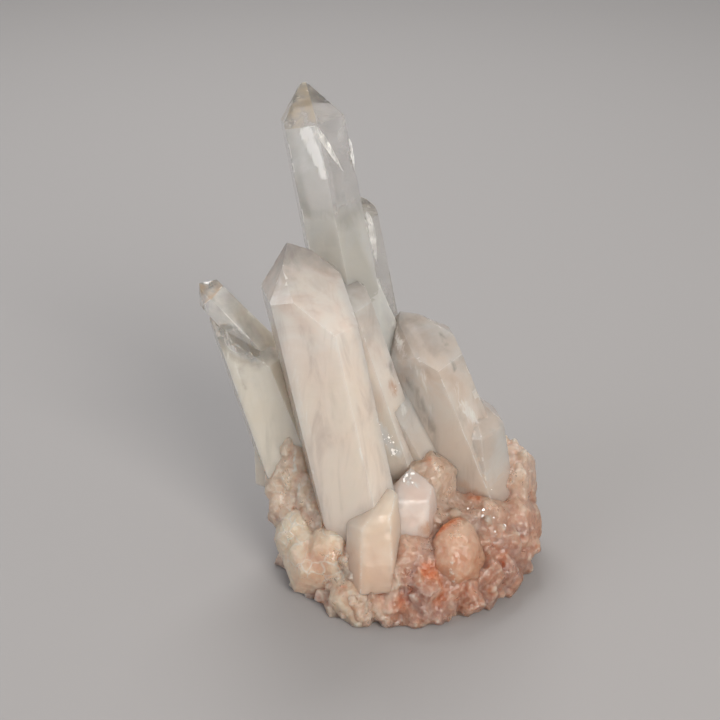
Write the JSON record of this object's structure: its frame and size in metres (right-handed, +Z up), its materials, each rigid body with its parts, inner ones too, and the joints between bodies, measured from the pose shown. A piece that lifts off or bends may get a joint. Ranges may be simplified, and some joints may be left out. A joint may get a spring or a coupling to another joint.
{
  "type": "himalayan pink quartz cluster",
  "caption": "Cluster of large quartz points, clear to milky pink, grown together on a crusted, iron-stained quartz base that is flat underneath.",
  "frame": {"origin": "middle of the flat cut under the base, on the surface that the cluster stands on", "axes": "+Z up, -Y toward the side that the picture shows, +X to the right in that view"},
  "size_m": [0.1002, 0.0846, 0.1411],
  "materials": {
    "quartz": "natural crystal faces, glossy, clear at the tall points and milky pink below, with orange-brown iron stain in the crevices of the base"
  },
  "bodies": {
    "root": {"quartz_cluster": "quartz"}
  },
  "joints": []
}
